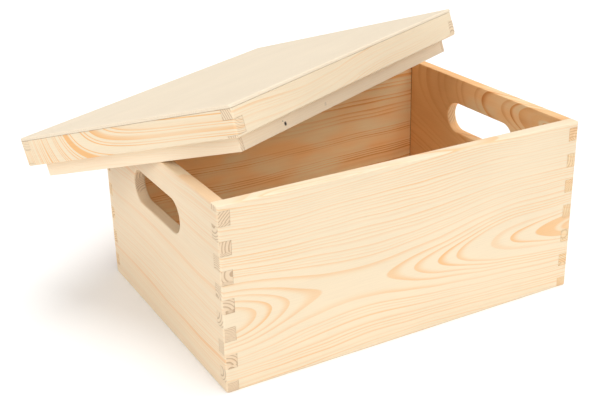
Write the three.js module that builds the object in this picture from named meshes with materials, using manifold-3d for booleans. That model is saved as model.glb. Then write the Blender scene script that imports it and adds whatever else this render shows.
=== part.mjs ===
// A pine toy box with a loose, lift-off lid, in millimetres, +Z up.
//
// The origin is the centre of the box's underside. X runs along the long front wall, Y runs from
// the front wall to the back wall. The four walls are finger-jointed boards, the short ones have a
// hand hole, and a thin plywood bottom is let into a rebate from below, flush with the walls' feet.
// The lid is a finger-jointed frame with a thin panel glued on top and four thin lip strips glued
// inside, which drop into the mouth of the box. It lies askew on the box: turned about the
// vertical and tilted about its own long axis, it stands on the left wall, the back wall and the
// corner between them, and its back lip hooks behind that corner.

import * as THREE from 'three';
import { mergeVertices } from 'three/addons/utils/BufferGeometryUtils.js';
import Module from 'manifold-3d';

// The box.
const BOX_LENGTH = 350;
const BOX_DEPTH = 250;
const BOX_HEIGHT = 161;
const WALL = 10.5;

// Finger joints. A side wall's finger comes first at the foot of each corner.
const FINGER = 12.25;
const FIRST_FINGER = 9.3;
const FINGER_COUNT = 12;
const JOINT_GAP = 0.2;

// Softened edges: the upright corners are rounder than the long edges.
const CORNER_RADIUS = 2.2;
const EASE = 1.3;
const EASE_STEPS = 3;
const MOUTH_EASE = 0.9;

// Hand holes in the two short walls.
const HOLE_LENGTH = 100;
const HOLE_HEIGHT = 30;
const HOLE_CENTRE_HEIGHT = 120;
const HOLE_EASE = 1.4;

// The plywood bottom and the rebate that it is glued into.
const BOTTOM_THICKNESS = 4;
const REBATE_DEPTH = 5;
const PANEL_PLAY = 0.3;

// The lid, measured from its shoulder: the face that meets the rim when it is closed.
const LID_FRAME_HEIGHT = 22.75;
const LID_TOP_FINGER = 8.3;
const LID_PANEL = 2.8;
const LID_EASE = 1.2;
const GLUE_LINE = 0.3;
const LIP_THICKNESS = 4;
const LIP_DROP = 13.2;
const SHORT_END = 2.5;

// Where the lid lies.
const LID_TURN = THREE.MathUtils.degToRad(26.08);
const LID_TILT = THREE.MathUtils.degToRad(-16.73);
const LID_SHOULDER_CENTRE = new THREE.Vector3(-41.59, 76.52, 167.37);

const PINE = { color: 0xf4dcb2, roughness: 0.62, metalness: 0 };
const PINE_WARM = { color: 0xefd2a6, roughness: 0.62, metalness: 0 };
const PLYWOOD = { color: 0xf3e4cb, roughness: 0.58, metalness: 0 };

const wasm = await Module();
wasm.setup();

function toSolid(geometry) {
  const bare = geometry.clone();
  bare.deleteAttribute('normal');
  bare.deleteAttribute('uv');
  const merged = mergeVertices(bare, 1e-4);
  return new wasm.Manifold(new wasm.Mesh({
    numProp: 3,
    vertProperties: new Float32Array(merged.attributes.position.array),
    triVerts: new Uint32Array(merged.index.array),
  }));
}

function toGeometry(solid) {
  const mesh = solid.getMesh();
  const geometry = new THREE.BufferGeometry();
  geometry.setAttribute('position', new THREE.BufferAttribute(new Float32Array(mesh.vertProperties), 3));
  geometry.setIndex(new THREE.BufferAttribute(new Uint32Array(mesh.triVerts), 1));
  geometry.computeVertexNormals();
  return geometry;
}

// A straight-edged block between two opposite corners.
function block(low, high) {
  const size = high.map((value, axis) => value - low[axis]);
  const centre = high.map((value, axis) => (value + low[axis]) / 2);
  return toSolid(new THREE.BoxGeometry(...size).translate(...centre));
}

function rectangle(length, depth, radius) {
  const x = length / 2;
  const y = depth / 2;
  const shape = new THREE.Shape();
  if (radius === 0) {
    shape.moveTo(-x, -y).lineTo(x, -y).lineTo(x, y).lineTo(-x, y).closePath();
    return shape;
  }
  shape.moveTo(-x + radius, -y);
  shape.lineTo(x - radius, -y);
  shape.absarc(x - radius, -y + radius, radius, -Math.PI / 2, 0, false);
  shape.lineTo(x, y - radius);
  shape.absarc(x - radius, y - radius, radius, 0, Math.PI / 2, false);
  shape.lineTo(-x + radius, y);
  shape.absarc(-x + radius, y - radius, radius, Math.PI / 2, Math.PI, false);
  shape.lineTo(-x, -y + radius);
  shape.absarc(-x + radius, -y + radius, radius, Math.PI, 1.5 * Math.PI, false);
  return shape;
}

// A block standing on z = 0 with round upright corners and softened top and bottom edges.
function easedBlock(length, depth, height, ease) {
  return new THREE.ExtrudeGeometry(rectangle(length, depth, CORNER_RADIUS), {
    depth: height - 2 * ease,
    bevelThickness: ease,
    bevelSize: ease,
    bevelOffset: -ease,
    bevelSegments: EASE_STEPS,
    curveSegments: 4,
  }).translate(0, 0, ease);
}

// A cutter that stands on z = 0 and chamfers the edge of an opening whose outline is given: it
// widens from the outline to the outline plus ease over its lowest part.
function chamferCutter(outline, ease, curveSegments) {
  return new THREE.ExtrudeGeometry(outline, {
    depth: ease,
    bevelThickness: ease,
    bevelSize: ease,
    bevelSegments: 1,
    curveSegments,
  }).translate(0, 0, ease);
}

// The heights at which one finger gives way to the next, from the foot of a corner upwards.
function fingerLevels() {
  const levels = [0];
  for (let i = 0; i <= FINGER_COUNT; i += 1) {
    levels.push(FIRST_FINGER + i * FINGER);
  }
  levels.push(BOX_HEIGHT);
  return levels;
}

// The spans that one set of boards fills at a corner: every second span, from the given one on.
function spansFrom(levels, first) {
  const spans = [];
  for (let i = first; i < levels.length - 1; i += 2) {
    const low = i === 0 ? levels[0] : levels[i] + JOINT_GAP / 2;
    const high = i === levels.length - 2 ? levels[i + 1] : levels[i + 1] - JOINT_GAP / 2;
    spans.push([low, high]);
  }
  return spans;
}

// The room that a board along X takes in a finger-jointed frame of the given size: its own
// stretch at y = -depth / 2, and its fingers at both corners.
function boardAlongX(length, depth, thickness, height, spans) {
  const endX = length / 2 - thickness;
  const faceY = -depth / 2;
  const backY = faceY + thickness;
  let room = block([-endX, faceY, 0], [endX, backY, height]);
  for (const [low, high] of spans) {
    room = room.add(block([-length / 2, faceY, low], [length / 2, backY - JOINT_GAP, high]));
  }
  return room;
}

// The same for a board along Y at x = -length / 2.
function boardAlongY(length, depth, thickness, height, spans) {
  const endY = depth / 2 - thickness;
  const faceX = -length / 2;
  const backX = faceX + thickness;
  let room = block([faceX, -endY, 0], [backX, endY, height]);
  for (const [low, high] of spans) {
    room = room.add(block([faceX, -depth / 2, low], [backX - JOINT_GAP, depth / 2, high]));
  }
  return room;
}

// The outline of the plywood bottom: it reaches past the inner faces on each side, and its four
// corners are cut off, so that the rebate doesn't break into a finger joint.
function bottomOutline(play) {
  const innerX = BOX_LENGTH / 2 - WALL;
  const innerY = BOX_DEPTH / 2 - WALL;
  const reach = REBATE_DEPTH - PANEL_PLAY + play;
  const shape = new THREE.Shape();
  shape.moveTo(-innerX + reach, -innerY - reach);
  shape.lineTo(innerX - reach, -innerY - reach);
  shape.lineTo(innerX + reach, -innerY + reach);
  shape.lineTo(innerX + reach, innerY - reach);
  shape.lineTo(innerX - reach, innerY + reach);
  shape.lineTo(-innerX + reach, innerY + reach);
  shape.lineTo(-innerX - reach, innerY - reach);
  shape.lineTo(-innerX - reach, -innerY + reach);
  shape.closePath();
  return shape;
}

function flatPlate(outline, thickness, height) {
  return new THREE.ExtrudeGeometry(outline, { depth: thickness, bevelEnabled: false })
    .translate(0, 0, height);
}

// The hole that a hand goes through, lying along Y, with both of its edges eased.
function handHole() {
  const outline = rectangle(HOLE_LENGTH, HOLE_HEIGHT, HOLE_HEIGHT / 2 - 0.01);
  const steps = 16;
  const through = new THREE.ExtrudeGeometry(outline, {
    depth: 4 * WALL,
    bevelEnabled: false,
    curveSegments: steps,
  }).translate(0, 0, -2 * WALL);
  const outer = chamferCutter(outline, HOLE_EASE, steps).translate(0, 0, WALL / 2 - HOLE_EASE);
  const inner = chamferCutter(outline, HOLE_EASE, steps)
    .rotateX(Math.PI)
    .translate(0, 0, HOLE_EASE - WALL / 2);
  const cutter = [through, outer, inner].map((piece) => {
    piece.rotateX(Math.PI / 2);
    piece.rotateZ(Math.PI / 2);
    piece.translate(-BOX_LENGTH / 2 + WALL / 2, 0, HOLE_CENTRE_HEIGHT);
    return toSolid(piece);
  });
  return cutter[0].add(cutter[1]).add(cutter[2]);
}

function pieceOf(name, geometry, finish) {
  const mesh = new THREE.Mesh(geometry, new THREE.MeshStandardMaterial(finish));
  mesh.name = name;
  return mesh;
}

const toyBox = new THREE.Group();

// The four walls, cut from one softened block so that their faces meet flush.
const levels = fingerLevels();
const sideSpans = spansFrom(levels, 0);
const frontSpans = spansFrom(levels, 1);
const mouth = rectangle(BOX_LENGTH - 2 * WALL, BOX_DEPTH - 2 * WALL, 0);
const mouthCutter = toSolid(chamferCutter(mouth, MOUTH_EASE, 1).translate(0, 0, BOX_HEIGHT - MOUTH_EASE));
const rebate = toSolid(flatPlate(bottomOutline(PANEL_PLAY), BOTTOM_THICKNESS + 1 + PANEL_PLAY, -1));
const boxBody = toSolid(easedBlock(BOX_LENGTH, BOX_DEPTH, BOX_HEIGHT, EASE))
  .subtract(mouthCutter)
  .subtract(rebate);

const longWall = toGeometry(
  boardAlongX(BOX_LENGTH, BOX_DEPTH, WALL, BOX_HEIGHT, frontSpans).intersect(boxBody),
);
const shortWall = toGeometry(
  boardAlongY(BOX_LENGTH, BOX_DEPTH, WALL, BOX_HEIGHT, sideSpans)
    .intersect(boxBody)
    .subtract(handHole()),
);

const frontWall = pieceOf('front_wall', longWall, PINE);
const backWall = pieceOf('back_wall', longWall.clone(), PINE_WARM);
backWall.rotation.z = Math.PI;
const leftWall = pieceOf('left_wall', shortWall, PINE);
const rightWall = pieceOf('right_wall', shortWall.clone(), PINE_WARM);
rightWall.rotation.z = Math.PI;
toyBox.add(frontWall, backWall, leftWall, rightWall);

toyBox.add(pieceOf('bottom_panel', flatPlate(bottomOutline(0), BOTTOM_THICKNESS, 0), PLYWOOD));

// The lid, about its own shoulder plane.
const lid = new THREE.Group();
const lidLevels = [0, LID_FRAME_HEIGHT - LID_TOP_FINGER - FINGER, LID_FRAME_HEIGHT - LID_TOP_FINGER,
  LID_FRAME_HEIGHT];
const railSpansLong = spansFrom(lidLevels, 0);
const railSpansShort = spansFrom(lidLevels, 1);

// Only the shoulder's outer edge and the panel's top edge are eased: the block that the frame is
// cut from goes on above the frame.
const lidBody = toSolid(easedBlock(BOX_LENGTH, BOX_DEPTH, LID_FRAME_HEIGHT + 4 * LID_EASE, LID_EASE));
const longRailSolid = boardAlongX(BOX_LENGTH, BOX_DEPTH, WALL, LID_FRAME_HEIGHT, railSpansLong)
  .intersect(lidBody);
const shortRail = toGeometry(
  boardAlongY(BOX_LENGTH, BOX_DEPTH, WALL, LID_FRAME_HEIGHT, railSpansShort).intersect(lidBody),
);

// The front rail was cut a little short: its right-hand fingers stop before the corner.
const shortEndCutter = block(
  [BOX_LENGTH / 2 - SHORT_END, -BOX_DEPTH / 2 - 1, -1],
  [BOX_LENGTH / 2 + 1, -BOX_DEPTH / 2 + WALL + 1, LID_FRAME_HEIGHT + 1],
);
lid.add(pieceOf('lid_front_rail', toGeometry(longRailSolid.subtract(shortEndCutter)), PINE));
const lidBackRail = pieceOf('lid_back_rail', toGeometry(longRailSolid), PINE);
lidBackRail.rotation.z = Math.PI;
const lidLeftRail = pieceOf('lid_left_rail', shortRail, PINE_WARM);
const lidRightRail = pieceOf('lid_right_rail', shortRail.clone(), PINE_WARM);
lidRightRail.rotation.z = Math.PI;
lid.add(lidBackRail, lidLeftRail, lidRightRail);

// The panel is the top slice of a taller softened block, flush with the frame all round.
const panelUnderside = LID_FRAME_HEIGHT + GLUE_LINE;
const panelBlock = toSolid(
  easedBlock(BOX_LENGTH, BOX_DEPTH, 4 * LID_PANEL, LID_EASE).translate(0, 0, -3 * LID_PANEL),
);
const panelSlice = block([-BOX_LENGTH, -BOX_DEPTH, 0], [BOX_LENGTH, BOX_DEPTH, 2 * LID_PANEL]);
const lidPanel = pieceOf('lid_top_panel', toGeometry(panelBlock.intersect(panelSlice)), PLYWOOD);
lidPanel.position.z = panelUnderside;
lid.add(lidPanel);

// The lip strips stand against the inner faces of the rails and reach below the shoulder. The
// two short ones run right through, and the two long ones fit between them.
const lipOuterX = BOX_LENGTH / 2 - WALL - GLUE_LINE;
const lipOuterY = BOX_DEPTH / 2 - WALL - GLUE_LINE;
const lipHeight = LID_FRAME_HEIGHT + LIP_DROP;
const lipMiddle = LID_FRAME_HEIGHT - lipHeight / 2;
const longLipLength = 2 * (lipOuterX - LIP_THICKNESS - GLUE_LINE);
for (const [name, side] of [['lid_left_lip', -1], ['lid_right_lip', 1]]) {
  const lip = pieceOf(name, new THREE.BoxGeometry(LIP_THICKNESS, 2 * lipOuterY, lipHeight), PINE);
  lip.position.set(side * (lipOuterX - LIP_THICKNESS / 2), 0, lipMiddle);
  lid.add(lip);
}
for (const [name, side] of [['lid_front_lip', -1], ['lid_back_lip', 1]]) {
  const lip = pieceOf(name, new THREE.BoxGeometry(longLipLength, LIP_THICKNESS, lipHeight), PINE);
  lip.position.set(0, side * (lipOuterY - LIP_THICKNESS / 2), lipMiddle);
  lid.add(lip);
}

lid.rotation.x = LID_TILT;
const lidPlace = new THREE.Group();
lidPlace.rotation.z = LID_TURN;
lidPlace.position.copy(LID_SHOULDER_CENTRE);
lidPlace.add(lid);
toyBox.add(lidPlace);

export default toyBox;
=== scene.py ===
"""A pine toy box with a loose lid, made board by board on its CAD frame.

Every board is pine sawn from a trunk, so its pattern is a solid one: the growth rings of a tree run
through the board, and each face, end and cut edge shows the rings that it meets there.
"""

import math
from typing import NamedTuple

import bpy
import numpy as np
from mathutils import Euler, Matrix, Vector


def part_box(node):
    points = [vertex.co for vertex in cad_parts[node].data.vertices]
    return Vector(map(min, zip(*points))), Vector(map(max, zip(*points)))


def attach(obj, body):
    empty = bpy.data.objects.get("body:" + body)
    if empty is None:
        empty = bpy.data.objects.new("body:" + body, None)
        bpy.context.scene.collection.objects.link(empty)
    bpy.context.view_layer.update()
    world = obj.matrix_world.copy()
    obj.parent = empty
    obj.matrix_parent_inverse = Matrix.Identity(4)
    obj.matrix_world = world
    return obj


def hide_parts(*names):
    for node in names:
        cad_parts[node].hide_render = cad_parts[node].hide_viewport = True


bl_info = {
    "name": "Wooden Toy Box",
    "version": (1, 0, 0),
    "blender": (4, 5, 0),
    "location": "3D View > Sidebar > Toy Box",
    "description": "Makes a pine toy box and its loose lid, and sets a studio round them",
    "category": "Object",
}

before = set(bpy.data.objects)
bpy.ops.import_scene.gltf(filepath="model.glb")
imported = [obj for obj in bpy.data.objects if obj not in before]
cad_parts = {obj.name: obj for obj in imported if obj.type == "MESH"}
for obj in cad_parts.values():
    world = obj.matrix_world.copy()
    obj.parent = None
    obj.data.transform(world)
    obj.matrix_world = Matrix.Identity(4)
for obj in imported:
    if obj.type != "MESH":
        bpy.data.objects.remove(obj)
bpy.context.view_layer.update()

MILLIMETRE = 0.001
BOX_LOW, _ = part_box("front_wall")
_, BOX_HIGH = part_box("back_wall")
HALF_LENGTH = (BOX_HIGH.x - BOX_LOW.x) / MILLIMETRE / 2
HALF_DEPTH = (BOX_HIGH.y - BOX_LOW.y) / MILLIMETRE / 2
HALVES = (HALF_LENGTH, HALF_DEPTH)
BOX_HEIGHT = BOX_HIGH.z / MILLIMETRE


# ---------------------------------------------------------------- settings


def colour_setting(name, description, value):
    """A colour that a user may change."""
    return bpy.props.FloatVectorProperty(
        name=name, description=description, subtype="COLOR", size=3, min=0, max=1, default=value
    )


def number_setting(name, description, value, **limits):
    """A number that a user may change, with its limits, unit or subtype."""
    return bpy.props.FloatProperty(name=name, description=description, default=value, **limits)


def size_setting(name, description, value):
    """A length in millimetres that a user may change."""
    return number_setting(name, description, value, min=0)


def angle_setting(name, description, degrees):
    """An angle that a user may change."""
    return number_setting(name, description, math.radians(degrees), subtype="ANGLE", unit="ROTATION")


def place_setting(name, description, value):
    """A place in metres that a user may change."""
    return bpy.props.FloatVectorProperty(
        name=name, description=description, subtype="TRANSLATION", unit="LENGTH", size=3, default=value
    )


class ToyBoxWood(bpy.types.PropertyGroup):
    """The colours of the wood, in linear light."""

    early: colour_setting("Early wood", "Pale wood that grows in spring", (0.89, 0.745, 0.54))
    late: colour_setting("Late wood", "Darker wood that ends each ring", (0.88, 0.50, 0.21))
    heart: colour_setting("Heartwood", "Resin-rich wood round the pith", (0.95, 0.60, 0.32))
    heart_late: colour_setting("Late heartwood", "Darker wood that ends its rings", (0.66, 0.27, 0.09))
    end: colour_setting("End grain", "Wood cut across its fibres", (0.85, 0.68, 0.48))
    end_ring: colour_setting("End-grain rings", "Late wood cut across its fibres", (0.44, 0.28, 0.16))
    knot: colour_setting("Pin knot", "The dead twig in a lip strip", (0.035, 0.03, 0.028))
    # Painted shade: the colour of a dark line painted down an inner corner of the box, where two walls meet.
    corner_shade: colour_setting("Glue line", "Aged glue in an inner corner", (0.30, 0.13, 0.05))
    relief: number_setting(
        "Relief",
        "How far the late wood stands proud of the early wood",
        0.00006,
        min=0,
        max=0.001,
        subtype="DISTANCE",
        unit="LENGTH",
    )


class ToyBoxJoinery(bpy.types.PropertyGroup):
    """Sizes of the boards, their joints and their softened edges, in millimetres."""

    wall: size_setting("Wall", "Thickness of the walls and rails", 10.5)
    finger: size_setting("Finger", "Width of a finger of the corner joints", 12.25)
    first_finger: size_setting("Foot finger", "Width of the finger at the foot of a corner", 9.3)
    joint_gap: size_setting("Joint gap", "Width of the line between two fingers", 0.2)
    corner: size_setting("Corner", "Radius of the upright corners", 2.35)
    ease: size_setting("Ease", "Radius of the long outer edges", 1.3)
    mouth_ease: size_setting("Mouth ease", "Radius of the rim's inner edge", 0.9)
    hole_length: size_setting("Hand hole length", "Length of a hand hole", 100)
    hole_height: size_setting("Hand hole height", "Height of a hand hole", 30)
    hole_level: size_setting("Hand hole level", "Height of a hand hole's centre", 120)
    hole_ease: size_setting("Hand hole ease", "Radius of a hand hole's edges", 1.4)
    rebate_depth: size_setting("Rebate depth", "How far the bottom is let into the walls", 5)
    bottom: size_setting("Bottom", "Thickness of the plywood bottom", 4)
    rebate_height: size_setting("Rebate height", "Height of the rebate for the bottom", 4.3)
    rail_height: size_setting("Rail height", "Height of the lid's rails", 22.75)
    top_finger: size_setting("Top finger", "Width of the long rails' upper finger", 8.3)
    short_end: size_setting("Short end", "How far the front rail stops before its right corner", 2.5)
    lid_ease: size_setting("Lid ease", "Radius of the lid's long outer edges", 1.35)
    panel: size_setting("Lid panel", "Thickness of the lid's panel", 2.8)
    glue_line: size_setting("Glue line", "Gap between pieces glued face to face", 0.3)
    lip: size_setting("Lip", "Thickness of the lip strips", 4)
    lip_drop: size_setting("Lip drop", "How far the lips reach below the rails", 13.2)
    lip_ease: size_setting("Lip ease", "Radius of the lip strips' edges", 0.4)


class ToyBoxLidPlace(bpy.types.PropertyGroup):
    """Where the loose lid lies: the pose that the CAD frame holds."""

    turn: angle_setting("Turn", "Turn of the lid about the vertical", 26.08)
    tilt: angle_setting("Tilt", "Tilt of the turned lid about its own long axis", -16.73)
    shoulder: place_setting(
        "Shoulder centre", "Centre of the lid frame's underside", (-0.04159, 0.07652, 0.16737)
    )


class ToyBoxStage(bpy.types.PropertyGroup):
    """The floor, the lights and the camera."""

    floor: colour_setting("Floor", "Colour of the floor", (0.97, 0.97, 0.97))
    glow: number_setting("Floor glow", "Strength of the floor's own faint light", 0.07, min=0)
    floor_radius: number_setting("Floor radius", "Radius of the round floor", 9, unit="LENGTH")
    sky: number_setting("Sky", "Strength of the white light all round", 0.33, min=0)
    key: number_setting("Key light", "Strength of the soft light from above", 1.75, min=0)
    fill: number_setting("Fill light", "Strength of the soft light from the front", 0.84, min=0)
    side: number_setting("Side light", "Strength of the soft light from the left", 0.9, min=0)
    softness: angle_setting("Softness", "Angle that each soft light fills", 40)
    camera_place: place_setting("Camera place", "Where the camera stands", (-0.4544, -0.7627, 0.4647))
    camera_turn: bpy.props.FloatVectorProperty(
        name="Camera turn",
        description="Euler angles of the camera",
        default=(math.radians(66.457), math.radians(1.269), math.radians(-29.238)),
        subtype="EULER",
        unit="ROTATION",
        size=3,
    )
    lens: number_setting("Lens", "Focal length of the camera, in millimetres", 62.5, min=1)


# ---------------------------------------------------------------- shader maths

NOISE_GAIN = 3.6  # spreads noise that keeps near its middle to about -1 to 1


class Wire:
    """One output of a node, so that shader maths reads as Python expressions on numbers."""

    def __init__(self, sheet, socket):
        self.sheet = sheet
        self.socket = socket

    def math(self, operation, *values):
        """A Math node on this wire and up to two more values."""
        return self.sheet.node("ShaderNodeMath", {"operation": operation}, dict(enumerate(values)))

    def __add__(self, other):
        return self.math("ADD", self, other)

    __radd__ = __add__

    def __sub__(self, other):
        return self.math("SUBTRACT", self, other)

    def __rsub__(self, other):
        return self.math("SUBTRACT", other, self)

    def __mul__(self, other):
        return self.math("MULTIPLY", self, other)

    __rmul__ = __mul__

    def __truediv__(self, other):
        return self.math("DIVIDE", self, other)

    def __pow__(self, power):
        return self.math("POWER", self, power)

    def __abs__(self):
        return self.math("ABSOLUTE", self)

    def root(self):
        """The square root."""
        return self.math("SQRT", self)

    def whole(self):
        """The whole number below."""
        return self.math("FLOOR", self)

    def part(self):
        """What is left above the whole number below."""
        return self.math("FRACT", self)

    def exponent(self):
        """e to this power."""
        return self.math("EXPONENT", self)

    def cosine(self):
        """The cosine, of radians."""
        return self.math("COSINE", self)

    def sine(self):
        """The sine, of radians."""
        return self.math("SINE", self)

    def step(self, low, high):
        """0 below low, 1 above high, and a smooth S between them."""
        return self.sheet.node(
            "ShaderNodeMapRange",
            {"interpolation_type": "SMOOTHSTEP"},
            {"Value": self, "From Min": low, "From Max": high},
        )


class Sheet:
    """The node tree of one material."""

    def __init__(self, name):
        self.material = bpy.data.materials.new(name)
        self.material.use_nodes = True
        self.tree = self.material.node_tree
        self.tree.nodes.clear()

    def node(self, kind, settings, inputs, output=0):
        """Adds a node: its settings first, then the values or wires of its inputs. Gives one output."""
        made = self.tree.nodes.new(kind)
        for name, value in settings.items():
            setattr(made, name, value)
        for name, value in inputs.items():
            if isinstance(value, Wire):
                self.tree.links.new(value.socket, made.inputs[name])
            else:
                made.inputs[name].default_value = value
        return Wire(self, made.outputs[output])

    def join(self, x, y, z):
        """A vector from three numbers."""
        return self.node("ShaderNodeCombineXYZ", {}, {"X": x, "Y": y, "Z": z})

    def split(self, vector):
        """The three numbers of a vector."""
        first = self.node("ShaderNodeSeparateXYZ", {}, {"Vector": vector})
        return [Wire(self, socket) for socket in first.socket.node.outputs]

    def blend(self, share, first, second, mode="MIX"):
        """A colour between two, by a Mix node."""
        factor, first_colour, second_colour, result = 0, 6, 7, 2
        return self.node(
            "ShaderNodeMix",
            {"data_type": "RGBA", "blend_type": mode},
            {factor: share, first_colour: opaque(first), second_colour: opaque(second)},
            result,
        )

    def cloud(self, point, sizes, seed, detail=0.0):
        """Smooth noise of about -1 to 1, whose lumps have these sizes along, across and through."""
        along, across, depth = (value / size for value, size in zip(point, sizes))
        vector = self.join(along + seed, across, depth)
        noise = self.node(
            "ShaderNodeTexNoise",
            {"noise_dimensions": "3D", "normalize": True},
            {"Vector": vector, "Scale": 1.0, "Detail": detail, "Roughness": 0.5},
        )
        return (noise - 0.5) * NOISE_GAIN

    def chance(self, number):
        """A steady random value from 0 to 1 for each whole number."""
        return self.node("ShaderNodeTexWhiteNoise", {"noise_dimensions": "1D"}, {"W": number})

    def finish(self, inputs):
        """Ends in a Principled surface with these inputs, and gives the material."""
        shader = self.node("ShaderNodeBsdfPrincipled", {}, inputs)
        output = self.tree.nodes.new("ShaderNodeOutputMaterial")
        self.tree.links.new(shader.socket, output.inputs["Surface"])
        return self.material


def opaque(colour):
    """A plain colour with alpha 1; a wire stays as it is."""
    return colour if isinstance(colour, Wire) else (*colour, 1.0)


# ---------------------------------------------------------------- wood


class Growth(NamedTuple):
    """How a tree's rings run through one board.

    Lengths are millimetres along the board from its left end, and across it from its lower edge,
    seen from outside; ring counts are rings between the pith and the face.
    """

    pith: float  # how far across the board the pith's line lies
    slope: float = 0.0  # rise of that line for each millimetre along
    pitch: float = 4.6  # ring width
    saddle: float = 120.0  # where along the board the pith lies deepest
    cover: float = 8.0  # rings above the pith there
    rise: float = 0.0  # rings by which the pith comes nearer for each millimetre away from there
    plunge: float = 0.0  # further rings above the pith at the left end, where the pith dives
    crowd: float = 0.03  # how much narrower each ring is than the one inside it
    wander: float = 4.0  # how far slow waves move the rings, in millimetres
    bold: float = 0.6  # strength of the late wood
    warmth: float = 0.0  # share of heartwood colour all through
    flame: float = 0.0  # strength of the resin-rich patches
    heart: float = 0.0  # rings round the pith that are heartwood
    resin: tuple = (0.0, 1.0, 0.0)  # where along it resin begins and is full, and how much there is
    ends: float = 0.8  # how strongly the end grain shows
    knots: tuple = ()  # pin knots, each a length along, a height across, a radius and a darkness
    corner_shade: float = -1.0  # where along its inner face a line of painted shade runs down the inner corner
    tone_and_painted_light: tuple = (1.0, 1.0, 1.0)  # tone of the whole board; on the inner walls and the lip strips also painted light, brightening and warming the wood
    seed: float = 0.0


class Board(NamedTuple):
    """A CAD node, the frame that its grain lies in, and its growth."""

    node: str
    along: tuple
    across: tuple
    corner: tuple
    growth: Growth


RIDGE_WIDTH = 25.0  # how far to each side of the saddle the pith's turn is blunt
PLUNGE_LENGTH = 45.0  # length in which a diving pith's depth falls to about a third
FINGER_PITCH = 24.5  # height from one finger of a board to its next
END_RING_PITCH = 1.9
END_RING_BOW = 0.06
INNER_FACE = -10.0  # depth at which the painted corner shade begins
CORNER_SHADE_WIDTH = 0.9

# Sizes along, across and through the board of the lumps in each kind of noise.
DRIFT = (150.0, 60.0, 60.0)
RIPPLE = (38.0, 14.0, 14.0)
SWELL = (85.0, 70.0, 50.0)
LATE_PATCHES = (120.0, 45.0, 45.0)
FIBRES = (28.0, 0.9, 0.9)
MOTTLE = (90.0, 30.0, 30.0)
RESIN_DUCTS = (6.0, 0.55, 0.55)
BLAZE = (55.0, 20.0, 20.0)
PORES = (0.6, 0.6, 0.6)
KNOT_EDGE = (1.2, 1.2, 1.2)


def rings(sheet, point, growth):
    """Rings between a point and the pith.

    The root of the sum of two squares: the distance across from the pith's line, in rings, and the
    rings between the face and the pith, which grow fewer away from the saddle. Both wander slowly.
    """
    along, across, depth = point
    seed = growth.seed
    drift = sheet.cloud(point, DRIFT, seed) * growth.wander
    ripple = sheet.cloud(point, RIPPLE, seed + 7.0) * (growth.wander * 0.14)
    sideways = (across + drift + ripple - growth.pith - along * growth.slope) / growth.pitch
    away = ((along - growth.saddle) ** 2.0 + RIDGE_WIDTH**2).root()
    dive = (along / -PLUNGE_LENGTH).exponent() * growth.plunge
    swell = sheet.cloud(point, SWELL, seed + 13.0) * (growth.wander * 0.11)
    above = growth.cover + dive - away * growth.rise + depth / growth.pitch + swell
    count = (sideways * sideways + above * above).root()
    uneven = sheet.node(
        "ShaderNodeTexNoise",
        {"noise_dimensions": "1D"},
        {"W": count * 0.55 + seed, "Scale": 1.0, "Detail": 0.0},
    )
    return count * (1.0 + count * growth.crowd) + (uneven - 0.5) * 2.4


def late_wood(sheet, count, point, growth):
    """How much late wood a point has: it comes on slowly through a ring, then ends at once."""
    phase = count.part()
    swelling = phase.step(0.35, 0.92) ** 1.6
    ending = 1.0 - phase.step(0.95, 1.0)
    strength = 0.35 + 0.65 * sheet.chance(count.whole() + growth.seed)
    patches = 0.8 + 0.45 * sheet.cloud(point, LATE_PATCHES, growth.seed + 21.0)
    return swelling * ending * strength * patches


def end_rings(sheet, point, growth):
    """The rings on a finger's end: straight or bent lines, at another angle on each finger."""
    along, across, depth = point
    finger = (across / FINGER_PITCH).whole()
    middle = (finger + 0.5) * FINGER_PITCH
    angle = sheet.chance(finger + growth.seed * 3.0 + 5.0) * math.pi
    height = across - middle
    bow = END_RING_BOW * sheet.chance(finger + growth.seed + 2.0)
    lines = height * angle.cosine() + depth * angle.sine() + height * height * bow + depth * depth * bow
    return (lines / END_RING_PITCH).part()


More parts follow.
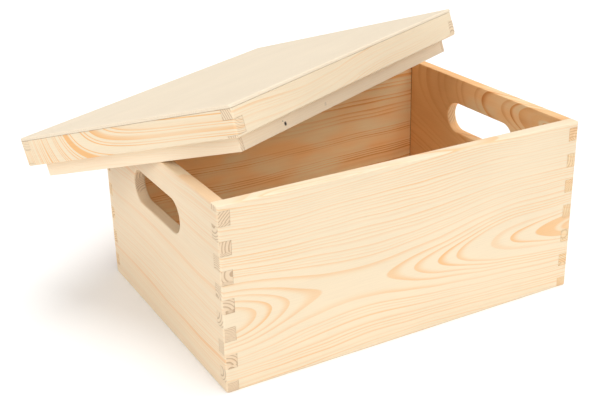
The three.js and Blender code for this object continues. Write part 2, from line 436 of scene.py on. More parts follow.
def wood(name, place, growth):
    """The pine of one board. place carries the board's own frame to the object's."""
    settings = bpy.context.scene.toy_box_wood
    sheet = Sheet(name)
    where = sheet.node("ShaderNodeTexCoord", {}, {}, "Object")
    local = sheet.node(
        "ShaderNodeMapping",
        {"vector_type": "TEXTURE"},
        {
            "Vector": where,
            "Location": place.translation,
            "Rotation": place.to_euler(),
            "Scale": (MILLIMETRE,) * 3,
        },
    )
    point = sheet.split(local)
    along, across, depth = point
    seed = growth.seed

    count = rings(sheet, point, growth)
    late = late_wood(sheet, count, point, growth)
    resin_start, resin_full, resin_share = growth.resin
    resin = along.step(resin_start, resin_full) * resin_share
    late = late * (1.0 - resin * 0.75)
    fibre = sheet.cloud(point, FIBRES, seed + 31.0, 2.0)
    mottle = sheet.cloud(point, MOTTLE, seed + 41.0, 1.0)
    ducts = sheet.cloud(point, RESIN_DUCTS, seed + 51.0).step(1.05, 1.5)

    colour = sheet.blend(late * growth.bold, settings.early, settings.late)
    heart = 1.0 - count.step(growth.heart - 0.6, growth.heart + 0.6)
    blaze = sheet.cloud(point, BLAZE, seed + 71.0, 1.0) * growth.flame
    warm = (heart + growth.warmth + blaze + resin).step(0.0, 1.0)
    colour = sheet.blend(warm, colour, sheet.blend(late * growth.bold, settings.heart, settings.heart_late))
    shade = 1.0 + fibre * 0.032 + mottle * 0.02 - ducts * 0.12
    colour = sheet.blend(1.0, colour, sheet.join(shade, shade * 0.995, shade * 0.985), "MULTIPLY")

    facing = sheet.node("ShaderNodeTexCoord", {}, {}, "Normal")
    grain_axis = place.to_3x3().col[0]
    square = sheet.node(
        "ShaderNodeVectorMath", {"operation": "DOT_PRODUCT"}, {0: facing, 1: grain_axis}, "Value"
    )
    is_end = abs(square).step(0.7, 0.92) * growth.ends
    end_phase = end_rings(sheet, point, growth)
    end_late = end_phase.step(0.45, 0.88) * (1.0 - end_phase.step(0.92, 1.0))
    pores = sheet.cloud(point, PORES, seed + 61.0, 1.0)
    end_colour = sheet.blend(end_late * 0.85 + pores * 0.08, settings.end, settings.end_ring)
    colour = sheet.blend(is_end, colour, end_colour)
    # The board's tone; on the inner walls and the lip strips this is also painted light that brightens and
    # warms the wood.
    colour = sheet.blend(1.0, colour, growth.tone_and_painted_light, "MULTIPLY")
    for knot_along, knot_across, radius, darkness in growth.knots:
        spot = ((along - knot_along) ** 2.0 + (across - knot_across) ** 2.0).root()
        spot = spot + sheet.cloud(point, KNOT_EDGE, seed) * (radius * 0.25)
        colour = sheet.blend((1.0 - spot.step(radius * 0.7, radius * 1.25)) * darkness, colour, settings.knot)
    # A dark line painted down the inner corner where two walls meet: painted shade.
    if growth.corner_shade >= 0.0:
        near = 1.0 - abs(along - growth.corner_shade).step(CORNER_SHADE_WIDTH * 0.3, CORNER_SHADE_WIDTH)
        colour = sheet.blend(near * (1.0 - depth.step(INNER_FACE - 0.4, INNER_FACE)), colour, settings.corner_shade)

    height = late * (1.0 - is_end) + fibre * 0.35 + end_late * is_end * 2.0
    normal = sheet.node(
        "ShaderNodeBump",
        {},
        {"Height": height, "Distance": settings.relief, "Strength": 0.8},
    )
    roughness = 0.58 - late * 0.1 + is_end * 0.2 + fibre * 0.03
    return sheet.finish(
        {"Base Color": colour, "Roughness": roughness, "Normal": normal, "Specular IOR Level": 0.35}
    )


# ---------------------------------------------------------------- board shapes

EASE_STEPS = 4  # facets in half of a board's eased edge, or in the whole of the bottom's
BOTTOM_EASE = 0.3
HOLE_STEPS = 8  # facets in each 45 degrees of a hand hole's end
HOLE_MARGIN = 12.0  # how far round a hand hole its round ends bend the cells
HOLE_RINGS = (3.0, 6.0, HOLE_MARGIN)  # further grid lines round it
WIDEST_CELL = 14.0
CLOSEST_LINES = 0.06
TOUCH = 1e-6  # places closer than this are one
TINY = 1e-9  # keeps a division away from zero
CORNER_CLEARANCE = 0.15  # how much more the bottom's corners are cut back
REBATE_WEB = 0.05  # how far short of the box's inner corner a rebate stops
SHARP_EDGE = math.radians(30)


class Envelope(NamedTuple):
    """A block with rounded edges that all of a body's boards were sanded to together."""

    low: tuple
    high: tuple
    corner: float  # radius of the upright corners
    ease_low: float  # radius round the underside
    ease_high: float  # radius round the top


def easing(radius):
    """Distances from an edge whose points an arc of this radius takes up at even angles."""
    return radius * (1 - np.tan(np.linspace(0, np.pi / 4, EASE_STEPS + 1)))


def grid_lines(firm, soft):
    """Sorted positions: all the firm ones, the soft ones that crowd no other, and some to fill gaps."""
    firm = sorted(set(np.round(firm, 6)))
    lines = list(firm)
    for value in sorted(set(np.round(soft, 6))):
        if firm[0] < value < firm[-1] and min(abs(value - line) for line in lines) > CLOSEST_LINES:
            lines.append(value)
    lines = np.array(sorted(lines))
    pieces = np.maximum(1, np.ceil(np.diff(lines) / WIDEST_CELL)).astype(int)
    filled = [
        np.linspace(start, end, count, endpoint=False)
        for start, end, count in zip(lines[:-1], lines[1:], pieces)
    ]
    return np.append(np.concatenate(filled), lines[-1])


def wood_cells(lines, blocks, cuts):
    """True for each cell whose middle lies in one of the blocks and in none of the cuts."""
    middles = np.meshgrid(*[(line[1:] + line[:-1]) / 2 for line in lines], indexing="ij")

    def inside(block):
        low, high = block
        return np.all([(m > a) & (m < b) for m, a, b in zip(middles, low, high)], axis=0)

    filled = np.any([inside(block) for block in blocks], axis=0)
    for cut in cuts:
        filled &= ~inside(cut)
    return filled


def skin(lines, cells):
    """The surface of a stack of cells: a quad wherever wood meets air, facing the air."""
    counts = [len(line) for line in lines]
    quads = []
    for axis in range(3):
        padding = [(1, 1) if a == axis else (0, 0) for a in range(3)]
        change = np.diff(np.pad(cells, padding).astype(np.int8), axis=axis)
        for direction, order in ((-1, (0, 1, 2, 3)), (1, (3, 2, 1, 0))):
            corner = np.argwhere(change == direction)
            first = np.eye(3, dtype=int)[(axis + 1) % 3]
            second = np.eye(3, dtype=int)[(axis + 2) % 3]
            ring = np.stack([corner, corner + first, corner + first + second, corner + second], 1)
            quads.append(ring[:, order])
    corners = np.concatenate(quads)
    index = np.ravel_multi_index(corners.reshape(-1, 3).T, counts)
    used, faces = np.unique(index, return_inverse=True)
    places = np.unravel_index(used, counts)
    points = np.column_stack([line[place] for line, place in zip(lines, places)])
    return points, faces.reshape(-1, 4)


def square_to_round(a, b):
    """How much each point is drawn in, when the squares about a centre become circles about it: the
    larger of its two distances from the centre, over the root of the sum of their squares."""
    return np.maximum(np.abs(a), np.abs(b)) / np.maximum(np.hypot(a, b), TINY)


def onto_arc(across, down, radius):
    """Rounds an edge: both distances from the two faces that meet there are measured back from the
    arc's centre, and squares about that centre become arcs. Points past the centre stay."""
    a = radius - across
    b = radius - down
    rounded = (a > 0) & (b > 0)
    share = square_to_round(a, b)
    return np.where(rounded, radius - a * share, across), np.where(rounded, radius - b * share, down)


def sand(points, envelope):
    """Rounds what lies near the envelope's edges: in plan by its corner radius, then top and foot."""
    low, high = np.array(envelope.low), np.array(envelope.high)
    plan, height = points[:, :2], points[:, 2]
    middle = np.clip(plan, low[:2] + envelope.corner, high[:2] - envelope.corner)
    offset = plan - middle
    reach = np.hypot(*offset.T)
    ring = np.abs(offset).max(1)
    inward = envelope.corner - ring
    top_in, top_down = onto_arc(inward, high[2] - height, envelope.ease_high)
    height = high[2] - top_down
    foot_in, foot_up = onto_arc(top_in, height - low[2], envelope.ease_low)
    height = low[2] + foot_up
    away = offset / np.maximum(reach, TINY)[:, None]
    near = reach > 0
    plan = np.where(near[:, None], middle + away * (envelope.corner - foot_in)[:, None], plan)
    return np.column_stack([plan, height])


def ease_mouth(points, axis, joinery):
    """Rounds the rim's inner edge along the wall's own stretch: distance past the inner face against
    depth below the rim. The fingers stay square, so that they keep clear of the next wall's."""
    across = 1 - axis
    inner = np.array(HALVES) - joinery.wall
    beyond = np.abs(points[:, across]) - inner[across]
    rounded, down = onto_arc(beyond, BOX_HEIGHT - points[:, 2], joinery.mouth_ease)
    own = (np.abs(points[:, axis]) < inner[axis] + TOUCH) & (beyond > -TOUCH)
    moved = points.copy()
    moved[own, across] = (np.sign(points[:, across]) * (inner[across] + rounded))[own]
    moved[own, 2] = (BOX_HEIGHT - down)[own]
    return moved


def round_hand_hole(points, joinery):
    """Turns a square-ended hole along Y into one with round ends, and rounds its two edges.

    Beyond the straight stretch, each square ring about an end's centre is carried onto the circle
    inside it, by less and less towards the edge of a margin.
    """
    moved = points.copy()
    half_height = joinery.hole_height / 2
    straight = joinery.hole_length / 2 - half_height
    side = points[:, 1]
    height = points[:, 2] - joinery.hole_level
    end = np.clip(np.abs(side) - straight, 0, None)
    ring = np.maximum(end, np.abs(height))
    share = np.clip(1 - (ring - half_height) / HOLE_MARGIN, 0, 1)
    scale = 1 + (square_to_round(end, height) - 1) * share
    end, height = end * scale, height * scale
    reach = np.maximum(np.hypot(end, height), TINY)
    beyond = reach - half_height
    depth = HALF_LENGTH - np.abs(points[:, 0])
    outer_beyond, outer_depth = onto_arc(beyond, depth, joinery.hole_ease)
    inner_beyond, inner_depth = onto_arc(outer_beyond, joinery.wall - outer_depth, joinery.hole_ease)
    grow = (half_height + inner_beyond) / reach
    in_reach = share > 0
    beyond_straight = np.abs(side) > straight
    moved[:, 1] = np.where(in_reach & beyond_straight, np.sign(side) * (straight + end * grow), side)
    moved[:, 2] = np.where(in_reach, joinery.hole_level + height * grow, points[:, 2])
    new_depth = joinery.wall - inner_depth
    moved[:, 0] = np.where(in_reach, np.sign(points[:, 0]) * (HALF_LENGTH - new_depth), points[:, 0])
    return moved


def mitre_rebate(points, joinery):
    """Slants the rebate's four ends by 45 degrees, so that it keeps clear of the corner joints: a
    point on an end moves back along the wall by as much as it lies deeper than the inner face."""
    half = np.array(HALVES) - joinery.wall
    moved = points.copy()
    low = points[:, 2] <= joinery.rebate_height + TOUCH
    for axis in (0, 1):
        other = 1 - axis
        on_line = np.abs(np.abs(points[:, axis]) - (half[axis] - REBATE_WEB)) < TOUCH
        deep = np.abs(points[:, other]) - half[other]
        pick = low & on_line & (deep > TOUCH)
        moved[pick, axis] -= np.sign(points[pick, axis]) * deep[pick]
    return moved


def make_piece(name, node, body, slot, points, faces, place):
    """Puts a surface, in millimetres in its body's own frame, into the scene in place of a CAD node."""
    world = points * MILLIMETRE @ np.array(place.to_3x3()).T + np.array(place.translation)
    mesh = bpy.data.meshes.new(name)
    mesh.from_pydata(world.tolist(), [], [list(face) for face in faces])
    mesh.polygons.foreach_set("use_smooth", np.ones(len(faces), bool))
    mesh.set_sharp_from_angle(angle=SHARP_EDGE)
    mesh.validate()
    piece = bpy.data.objects.new(name, mesh)
    bpy.context.scene.collection.objects.link(piece)
    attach(piece, body)
    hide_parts(node)
    return piece


def finger_spans(levels, first, gap):
    """The heights that one set of boards fills at a corner: every second span between the levels."""
    last = len(levels) - 2
    return [
        (levels[i] + (gap / 2 if i > 0 else 0), levels[i + 1] - (gap / 2 if i < last else 0))
        for i in range(first, last + 1, 2)
    ]


def board_blocks(axis, side, height, spans, joinery, short_end=0.0):
    """The room of a jointed board: its own stretch, and its fingers to both corners.

    axis is the one that the board runs along, and side is -1 or 1: where it stands on the other.
    """
    along, across = HALVES[axis], HALVES[1 - axis]
    blocks = []

    def add(reach_low, reach_high, inner, bottom, top):
        face_to_back = sorted((side * across, side * (across - inner)))
        low, high = [0, 0, bottom], [0, 0, top]
        low[axis], high[axis] = reach_low, reach_high
        low[1 - axis], high[1 - axis] = face_to_back
        blocks.append((tuple(low), tuple(high)))

    stretch = along - joinery.wall
    add(-stretch, stretch, joinery.wall, 0, height)
    for bottom, top in spans:
        add(-along, along - short_end, joinery.wall - joinery.joint_gap, bottom, top)
    return blocks


def bounds_on(axis, blocks):
    """All the places where the blocks begin and end along an axis."""
    return [corner[axis] for block in blocks for corner in block]


def wall_surface(axis, side, spans, joinery):
    """One wall of the box: the skin of its blocks less its rebate and, in a short wall, its hand hole.

    All its points are then moved together: onto the rebate's mitres, onto the hole's round ends, onto
    the rim's inner arc, and onto the box's rounded outside.
    """
    blocks = board_blocks(axis, side, BOX_HEIGHT, spans, joinery)
    inner = [half - joinery.wall for half in HALVES]
    rebate_low = [-inner[0] + REBATE_WEB, -inner[1] + REBATE_WEB, -1]
    rebate_high = [inner[0] - REBATE_WEB, inner[1] - REBATE_WEB, joinery.rebate_height]
    rebate_low[1 - axis] = -inner[1 - axis] - joinery.rebate_depth
    rebate_high[1 - axis] = inner[1 - axis] + joinery.rebate_depth
    cuts = [(tuple(rebate_low), tuple(rebate_high))]
    soft = [[], [], []]
    for a in (0, 1):
        outside = HALVES[a] - np.concatenate([easing(joinery.corner), easing(joinery.ease)])
        inside = inner[a] + easing(joinery.mouth_ease)
        soft[a] += [*outside, *-outside, *inside, *-inside]
    soft[2] += [*easing(joinery.ease), *(BOX_HEIGHT - easing(joinery.ease))]
    soft[2] += [*(BOX_HEIGHT - easing(joinery.mouth_ease))]
    has_hole = axis == 1
    if has_hole:
        half_height = joinery.hole_height / 2
        half_hole = joinery.hole_length / 2
        cuts.append((
            (-2 * HALF_LENGTH, -half_hole, joinery.hole_level - half_height),
            (2 * HALF_LENGTH, half_hole, joinery.hole_level + half_height),
        ))
        turn = half_height * np.tan(np.linspace(0, np.pi / 4, HOLE_STEPS + 1))
        edge = np.concatenate([easing(joinery.hole_ease), HOLE_RINGS])
        along = np.concatenate([half_hole - half_height + turn, half_hole + edge])
        up = np.concatenate([turn, half_height + edge])
        soft[1] += [*along, *-along]
        soft[2] += [*(joinery.hole_level + up), *(joinery.hole_level - up)]
        faces_x = np.concatenate([
            HALF_LENGTH - easing(joinery.hole_ease), inner[0] + easing(joinery.hole_ease)
        ])
        soft[0] += [*faces_x, *-faces_x]
    lines = []
    for a in range(3):
        span = bounds_on(a, blocks)
        firm = span + [v for v in bounds_on(a, cuts) if min(span) < v < max(span)]
        lines.append(grid_lines(firm, soft[a]))
    points, faces = skin(lines, wood_cells(lines, blocks, cuts))
    points = mitre_rebate(points, joinery)
    if has_hole:
        points = round_hand_hole(points, joinery)
    points = ease_mouth(points, axis, joinery)
    outside = Envelope(
        (-HALF_LENGTH, -HALF_DEPTH, 0),
        (HALF_LENGTH, HALF_DEPTH, BOX_HEIGHT),
        joinery.corner,
        joinery.ease,
        joinery.ease,
    )
    return sand(points, outside), faces


def plate_surface(outline, centre_to_edges, thickness, ease):
    """A plate: its outline carried up a rounded profile, and closed by a flat face at each end.

    A point is the outline's point moved inwards, along the mean of its two sides' normals, by the
    profile's inset: radius less radius times the sine of an angle that turns a quarter round each edge.
    """
    turn = np.linspace(0, np.pi / 2, EASE_STEPS + 1)
    inset = ease * (1 - np.sin(turn))
    rise = ease * (1 - np.cos(turn))
    insets = np.concatenate([inset, inset[::-1]])
    heights = np.concatenate([rise, thickness - rise[::-1]])
    points = outline[None] - centre_to_edges[None] * insets[:, None, None]
    level = np.broadcast_to(heights[:, None, None], (*points.shape[:2], 1))
    points = np.concatenate([points, level], axis=2).reshape(-1, 3)
    rings, sides = len(heights), len(outline)
    index = np.arange(rings * sides).reshape(rings, sides)
    after = np.roll(index, -1, axis=1)
    walls = np.stack([index[:-1], after[:-1], after[1:], index[1:]], -1).reshape(-1, 4)
    faces = [*walls.tolist(), index[0, ::-1].tolist(), index[-1].tolist()]
    return points, faces


def bottom_surface(thickness, joinery):
    """The plywood bottom: a rectangle in the rebate, its corners cut off at 45 degrees."""
    play = joinery.glue_line
    half = np.array(HALVES) - joinery.wall
    reach = joinery.rebate_depth - play
    long_side = half - reach - CORNER_CLEARANCE
    edge = half + reach
    quarter = np.array([[edge[0], long_side[1]], [long_side[0], edge[1]]])
    flip = np.array([[1, 1], [-1, 1], [-1, -1], [1, -1]])
    outline = np.concatenate([quarter, quarter[::-1] * flip[1], quarter * flip[2], quarter[::-1] * flip[3]])
    side = np.roll(outline, -1, axis=0) - outline
    normal = np.column_stack([side[:, 1], -side[:, 0]]) / np.hypot(*side.T)[:, None]
    before = np.roll(normal, 1, axis=0)
    outward = (normal + before) / (1 + (normal * before).sum(1))[:, None]
    return plate_surface(outline, outward, thickness, BOTTOM_EASE)


def lid_envelope(joinery):
    """The outside of the closed-up lid: its frame and its panel."""
    top = joinery.rail_height + joinery.glue_line + joinery.panel
    return Envelope(
        (-HALF_LENGTH, -HALF_DEPTH, 0),
        (HALF_LENGTH, HALF_DEPTH, top),
        joinery.corner,
        joinery.lid_ease,
        joinery.lid_ease,
    )


def block_surface(blocks, envelope):
    """Blocks joined into one surface and sanded to an envelope."""
    reach = np.concatenate([
        easing(envelope.corner), easing(envelope.ease_low), easing(envelope.ease_high)
    ])
    lines = []
    for a in range(3):
        soft = [*(envelope.low[a] + reach), *(envelope.high[a] - reach)]
        lines.append(grid_lines(bounds_on(a, blocks), soft))
    points, faces = skin(lines, wood_cells(lines, blocks, []))
    return sand(points, envelope), faces


# ---------------------------------------------------------------- boards


def dress(board, piece, body_place):
    """Gives a board's piece its own wood."""
    across = Vector(board.across)
    along = Vector(board.along)
    through = along.cross(across)
    turn = Matrix((along, across, through)).transposed().to_4x4()
    place = body_place @ Matrix.Translation(Vector(board.corner) * MILLIMETRE) @ turn
    piece.data.materials.append(wood("wood_of_" + board.node, place, board.growth))


def make_pieces(boards, surfaces, ending, body, slot, place):
    """Makes the piece of each board, named for its node and an ending, and dresses it."""
    for board, surface in zip(boards, surfaces):
        piece = make_piece(board.node + ending, board.node, body, slot, *surface, place)
        dress(board, piece, place)


def make_walls(boards, axis, first, joinery):
    """The two walls that run along an axis: the front or left one, then the back or right one. Their
    fingers fill every second span from the first."""
    levels = [0, *np.arange(joinery.first_finger, BOX_HEIGHT, joinery.finger), BOX_HEIGHT]
    spans = finger_spans(levels, first, joinery.joint_gap)
    surfaces = [wall_surface(axis, side, spans, joinery) for side in (-1, 1)]
    make_pieces(boards, surfaces, "_board", "box", "pine", Matrix.Identity(4))


def lid_place():
    """Carries the lid's own frame to the box's: a tilt about the long axis, a turn, then a move."""
    settings = bpy.context.scene.toy_box_lid
    move = Matrix.Translation(settings.shoulder)
    return move @ Matrix.Rotation(settings.turn, 4, "Z") @ Matrix.Rotation(settings.tilt, 4, "X")


RIGHT, LEFT = (1, 0, 0), (-1, 0, 0)
BACKWARD, FORWARD = (0, 1, 0), (0, -1, 0)
UP = (0, 0, 1)

# The frames of the boards on the four sides: along, across, and the corner that both start from.
FRONT_SIDE = (RIGHT, UP, (-HALF_LENGTH, -HALF_DEPTH, 0))
LEFT_SIDE = (FORWARD, UP, (-HALF_LENGTH, HALF_DEPTH, 0))
BACK_SIDE = (LEFT, UP, (HALF_LENGTH, HALF_DEPTH, 0))
RIGHT_SIDE = (BACKWARD, UP, (HALF_LENGTH, -HALF_DEPTH, 0))


class TOYBOX_OT_long_walls(bpy.types.Operator):
    """Make the front wall and the back wall"""

    bl_idname = "toybox.long_walls"
    bl_label = "Long Walls"

    def execute(self, context):
        front = Growth(
            pith=64.0, pitch=4.8, saddle=118.0, cover=7.5, rise=1 / 36, bold=0.8, seed=1.0
        )
        back = Growth(
            pith=30.0,
            slope=-0.02,
            pitch=6.0,
            saddle=120.0,
            cover=5.0,
            rise=1 / 60,
            crowd=0.004,
            bold=1.5,
            # warmth is heartwood that the board has, and also painted light: the warm glow bounced round
            # inside the box
            warmth=0.5,
            flame=0.6,
            heart=3.0,
            # painted shade down the inner corner with the right wall
            corner_shade=10.5,
            # painted light: a tone that lifts the red above 1 and warms the wood, standing in for light
            # bounced inside the box
            tone_and_painted_light=(1.06, 1.02, 0.9),
            seed=9.0,
        )
        boards = [
            Board("front_wall", *FRONT_SIDE, front),
            Board("back_wall", *BACK_SIDE, back),
        ]
        make_walls(boards, 0, 1, context.scene.toy_box_joinery)
        return {"FINISHED"}


class TOYBOX_OT_short_walls(bpy.types.Operator):
    """Make the left wall and the right wall, which have the hand holes"""

    bl_idname = "toybox.short_walls"
    bl_label = "Short Walls"

    def execute(self, context):
        left = Growth(
            pith=-190.0, pitch=3.1, cover=4.0, crowd=0.0, bold=0.55, tone_and_painted_light=(0.98, 0.95, 0.93), seed=4.0
        )
        right = Growth(
            pith=148.0,
            pitch=6.0,
            saddle=300.0,
            cover=17.8,
            rise=1 / 17,
            crowd=0.0,
            # warmth is heartwood that the board has, and also painted light: the warm glow bounced round
            # inside the box
            bold=1.1,
            warmth=0.4,
            flame=0.5,
            resin=(120.0, 175.0, 0.9),
            ends=0.55,
            # painted light: a warmer tone standing in for light bounced inside the box
            tone_and_painted_light=(1.02, 0.97, 0.86),
            seed=15.0,
        )
        boards = [
            Board("left_wall", *LEFT_SIDE, left),
            Board("right_wall", *RIGHT_SIDE, right),
        ]
        make_walls(boards, 1, 0, context.scene.toy_box_joinery)
        return {"FINISHED"}


class TOYBOX_OT_bottom(bpy.types.Operator):
    """Make the plywood bottom"""

    bl_idname = "toybox.bottom"
    bl_label = "Bottom"

    def execute(self, context):
        sheet = Growth(pith=300.0, pitch=9.0, cover=2.0, bold=0.4, warmth=0.15, seed=23.0)
        board = Board("bottom_panel", RIGHT, BACKWARD, (-HALF_LENGTH, -HALF_DEPTH, 0), sheet)
        joinery = context.scene.toy_box_joinery
        surface = bottom_surface(joinery.bottom, joinery)
        make_pieces([board], [surface], "_sheet", "box", "plywood", Matrix.Identity(4))
        return {"FINISHED"}


class TOYBOX_OT_lid_frame(bpy.types.Operator):
    """Make the four rails of the lid's frame"""

    bl_idname = "toybox.lid_frame"
    bl_label = "Lid Frame"

    def execute(self, context):
        front = Growth(
            pith=-12.0, slope=0.02, pitch=3.6, saddle=60.0, cover=6.0, rise=1 / 90, bold=0.6, seed=31.0
        )
        left = Growth(
            pith=30.0,
            pitch=3.4,
            cover=2.5,
            plunge=32.0,
            crowd=0.0,
            wander=1.2,
            bold=1.8,
            ends=0.4,
            seed=34.0,
        )
        back = Growth(pith=-30.0, pitch=3.6, cover=6.0, bold=0.4, ends=0.4, seed=37.0)
        right = Growth(pith=-8.0, pitch=4.0, saddle=200.0, cover=6.0, rise=1 / 50, bold=0.5, seed=40.0)
        boards = [
            Board("lid_front_rail", *FRONT_SIDE, front),
            Board("lid_left_rail", *LEFT_SIDE, left),
            Board("lid_back_rail", *BACK_SIDE, back),
            Board("lid_right_rail", *RIGHT_SIDE, right),
        ]
        joinery = context.scene.toy_box_joinery
        seam = joinery.rail_height - joinery.top_finger
        levels = (0, seam - joinery.finger, seam, joinery.rail_height)
        layout = ((0, -1, 0, joinery.short_end), (1, -1, 1, 0.0), (0, 1, 0, 0.0), (1, 1, 1, 0.0))
        surfaces = []
        for axis, side, first, short_end in layout:
            spans = finger_spans(levels, first, joinery.joint_gap)
            blocks = board_blocks(axis, side, joinery.rail_height, spans, joinery, short_end)
            surfaces.append(block_surface(blocks, lid_envelope(joinery)))
        make_pieces(boards, surfaces, "_board", "lid", "pine", lid_place())
        return {"FINISHED"}


class TOYBOX_OT_lid_panel(bpy.types.Operator):
    """Make the thin panel on the lid"""

    bl_idname = "toybox.lid_panel"
    bl_label = "Lid Panel"

    def execute(self, context):
        sheet = Growth(
            pith=420.0,
            pitch=8.0,
            cover=3.0,
            wander=9.0,
            bold=0.12,
            ends=0.15,
            tone_and_painted_light=(1.0, 1.03, 1.1),
            seed=47.0,
        )
        joinery = context.scene.toy_box_joinery
        underside = joinery.rail_height + joinery.glue_line
        top = underside + joinery.panel
        board = Board("lid_top_panel", RIGHT, BACKWARD, (-HALF_LENGTH, -HALF_DEPTH, top), sheet)
        block = ((-HALF_LENGTH, -HALF_DEPTH, underside), (HALF_LENGTH, HALF_DEPTH, top))
        surface = block_surface([block], lid_envelope(joinery))
        make_pieces([board], [surface], "_board", "lid", "plywood", lid_place())
        return {"FINISHED"}


class TOYBOX_OT_lid_lips(bpy.types.Operator):
    """Make the four lip strips that drop into the box's mouth"""

    bl_idname = "toybox.lid_lips"
    bl_label = "Lid Lips"

    def execute(self, context):
        joinery = context.scene.toy_box_joinery
        side = HALF_LENGTH - joinery.wall - joinery.glue_line
        end = HALF_DEPTH - joinery.wall - joinery.glue_line
        low, high = -joinery.lip_drop, joinery.rail_height
        thick, ease = joinery.lip, joinery.lip_ease
        between = side - thick - joinery.glue_line
        # painted light: a paler, brighter tone that lifts the shade under the lid's rails
        strip = Growth(pith=-60.0, pitch=4.0, bold=0.2, ends=0.5, tone_and_painted_light=(1.05, 1.05, 1.08))
        knots = ((59.2, 4.8, 1.6, 1.0), (56.7, 7.6, 0.5, 0.8), (117.0, 5.0, 1.6, 0.16))
        boards = [
            Board("lid_front_lip", RIGHT, UP, (-side, -end, low), strip._replace(knots=knots, seed=51.0)),
            Board("lid_left_lip", FORWARD, UP, (-side, end, low), strip._replace(seed=54.0)),
            Board("lid_back_lip", LEFT, UP, (side, end, low), strip._replace(seed=57.0)),
            Board("lid_right_lip", BACKWARD, UP, (side, -end, low), strip._replace(seed=60.0)),
        ]
        blocks = (
            ((-between, -end, low), (between, thick - end, high)),
            ((-side, -end, low), (thick - side, end, high)),
            ((-between, end - thick, low), (between, end, high)),
            ((side - thick, -end, low), (side, end, high)),
        )
        surfaces = [
            block_surface([(near, far)], Envelope(near, far, ease, ease, ease)) for near, far in blocks
        ]
        make_pieces(boards, surfaces, "_strip", "lid", "pine", lid_place())
        return {"FINISHED"}


# ---------------------------------------------------------------- stage

KEY_FROM = (0.2, 0, 1)
FILL_FROM = (0.1, -0.8, 0.6)
SIDE_FROM = (-0.85, -0.2, 0.5)
SENSOR_WIDTH = 36
NEAREST_SEEN = 0.01


def floor_mesh(radius):
    """A flat disc: rings whose radius grows as the square of their number, each point at
    (r cos a, r sin a, 0)."""
    turns, steps = 64, 5
    angle = np.linspace(0, 2 * np.pi, turns, endpoint=False)
    reach = radius * np.linspace(0, 1, steps + 1)[1:] ** 2
    x = np.outer(reach, np.cos(angle)).ravel()
    y = np.outer(reach, np.sin(angle)).ravel()
    points = np.vstack([np.zeros(3), np.column_stack([x, y, np.zeros_like(x)])])
    near = 1 + np.arange(turns)
    fan = np.column_stack([np.zeros(turns, int), near, np.roll(near, -1)])
    inner = (1 + np.arange((steps - 1) * turns)).reshape(steps - 1, turns)
    quads = np.stack([inner, inner + turns, np.roll(inner, -1, 1) + turns, np.roll(inner, -1, 1)], -1)
    mesh = bpy.data.meshes.new("floor")
    mesh.from_pydata(points.tolist(), [], fan.tolist() + quads.reshape(-1, 4).tolist())
    mesh.update()
    return mesh


def floor_material(colour, glow):
    """A pale matt floor with a faint mottle and a faint light of its own."""
    sheet = Sheet("floor_paint")
    where = sheet.split(sheet.node("ShaderNodeTexCoord", {}, {}, "Object"))
    mottle = sheet.cloud(where, (0.5, 0.5, 0.5), 3.0, 2.0)
    paint = sheet.blend(0.5 + mottle * 0.4, colour, tuple(0.99 * part for part in colour))
    return sheet.finish(
        {"Base Color": paint, "Roughness": 0.8, "Emission Color": (1, 1, 1, 1), "Emission Strength": glow}
    )


def soft_light(name, strength, softness, direction):
    """A broad light that comes evenly from one direction."""
    light = bpy.data.lights.new(name, "SUN")
    light.energy = strength
    light.angle = softness
    light_object = bpy.data.objects.new(name, light)
    light_object.rotation_euler = Vector(direction).to_track_quat("Z", "Y").to_euler()
    bpy.context.scene.collection.objects.link(light_object)


def white_room(tree, strength):
    """Lights the scene with this strength from all round, and looks full white behind it."""
    seen = tree.nodes.new("ShaderNodeLightPath").outputs["Is Camera Ray"]
    lit = tree.nodes["Background"]
    backdrop = tree.nodes.new("ShaderNodeBackground")
    for background, brightness in ((lit, strength), (backdrop, 1.0)):
        background.inputs["Color"].default_value = (1, 1, 1, 1)
        background.inputs["Strength"].default_value = brightness
    mixed = tree.nodes.new("ShaderNodeMixShader")
    tree.links.new(seen, mixed.inputs["Fac"])
    tree.links.new(lit.outputs["Background"], mixed.inputs[1])
    tree.links.new(backdrop.outputs["Background"], mixed.inputs[2])
    tree.links.new(mixed.outputs["Shader"], tree.nodes["World Output"].inputs["Surface"])


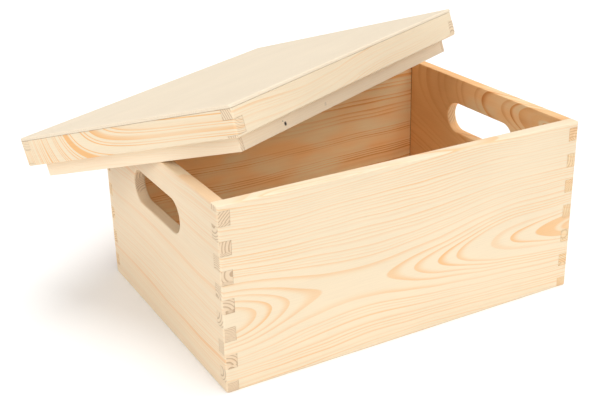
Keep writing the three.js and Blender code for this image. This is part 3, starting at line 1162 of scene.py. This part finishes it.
class TOYBOX_OT_stage(bpy.types.Operator):
    """Set the floor, the lights and the camera"""

    bl_idname = "toybox.stage"
    bl_label = "Stage"

    def execute(self, context):
        scene = context.scene
        settings = scene.toy_box_stage
        floor = bpy.data.objects.new("floor", floor_mesh(settings.floor_radius))
        floor.data.materials.append(floor_material(settings.floor, settings.glow))
        scene.collection.objects.link(floor)

        scene.world = bpy.data.worlds.new("white_studio")
        scene.world.use_nodes = True
        white_room(scene.world.node_tree, settings.sky)
        soft_light("key_light", settings.key, settings.softness, KEY_FROM)
        soft_light("fill_light", settings.fill, settings.softness, FILL_FROM)
        soft_light("side_light", settings.side, settings.softness, SIDE_FROM)
        scene.view_settings.view_transform = "Standard"

        camera = bpy.data.cameras.new("camera")
        camera.lens = settings.lens
        camera.sensor_width = SENSOR_WIDTH
        camera.clip_start = NEAREST_SEEN
        camera_object = bpy.data.objects.new("camera", camera)
        camera_object.location = settings.camera_place
        camera_object.rotation_euler = Euler(settings.camera_turn)
        scene.collection.objects.link(camera_object)
        scene.camera = camera_object
        return {"FINISHED"}


# ---------------------------------------------------------------- sidebar and registration

OPERATORS = (
    TOYBOX_OT_long_walls,
    TOYBOX_OT_short_walls,
    TOYBOX_OT_bottom,
    TOYBOX_OT_lid_frame,
    TOYBOX_OT_lid_panel,
    TOYBOX_OT_lid_lips,
    TOYBOX_OT_stage,
)


class TOYBOX_PT_sidebar(bpy.types.Panel):
    """The toy box's settings and steps"""

    bl_label = "Toy Box"
    bl_idname = "TOYBOX_PT_sidebar"
    bl_space_type = "VIEW_3D"
    bl_region_type = "UI"
    bl_category = "Toy Box"

    def draw(self, context):
        scene = context.scene
        for group_name, group in SETTINGS.items():
            for name in group.__annotations__:
                self.layout.prop(getattr(scene, group_name), name)
        for operator in OPERATORS:
            self.layout.operator(operator.bl_idname)


SETTINGS = {
    "toy_box_wood": ToyBoxWood,
    "toy_box_joinery": ToyBoxJoinery,
    "toy_box_lid": ToyBoxLidPlace,
    "toy_box_stage": ToyBoxStage,
}


def register():
    """Registers the classes and hangs the settings on the scene."""
    for group in (*SETTINGS.values(), *OPERATORS, TOYBOX_PT_sidebar):
        bpy.utils.register_class(group)
    for name, group in SETTINGS.items():
        setattr(bpy.types.Scene, name, bpy.props.PointerProperty(type=group))


def unregister():
    """Takes the settings off the scene and unregisters the classes."""
    for name in SETTINGS:
        delattr(bpy.types.Scene, name)
    for group in reversed((*SETTINGS.values(), *OPERATORS, TOYBOX_PT_sidebar)):
        bpy.utils.unregister_class(group)


def main():
    """Makes every piece and the stage."""
    register()
    bpy.ops.toybox.long_walls()
    bpy.ops.toybox.short_walls()
    bpy.ops.toybox.bottom()
    bpy.ops.toybox.lid_frame()
    bpy.ops.toybox.lid_panel()
    bpy.ops.toybox.lid_lips()
    bpy.ops.toybox.stage()


if __name__ == "__main__":
    main()
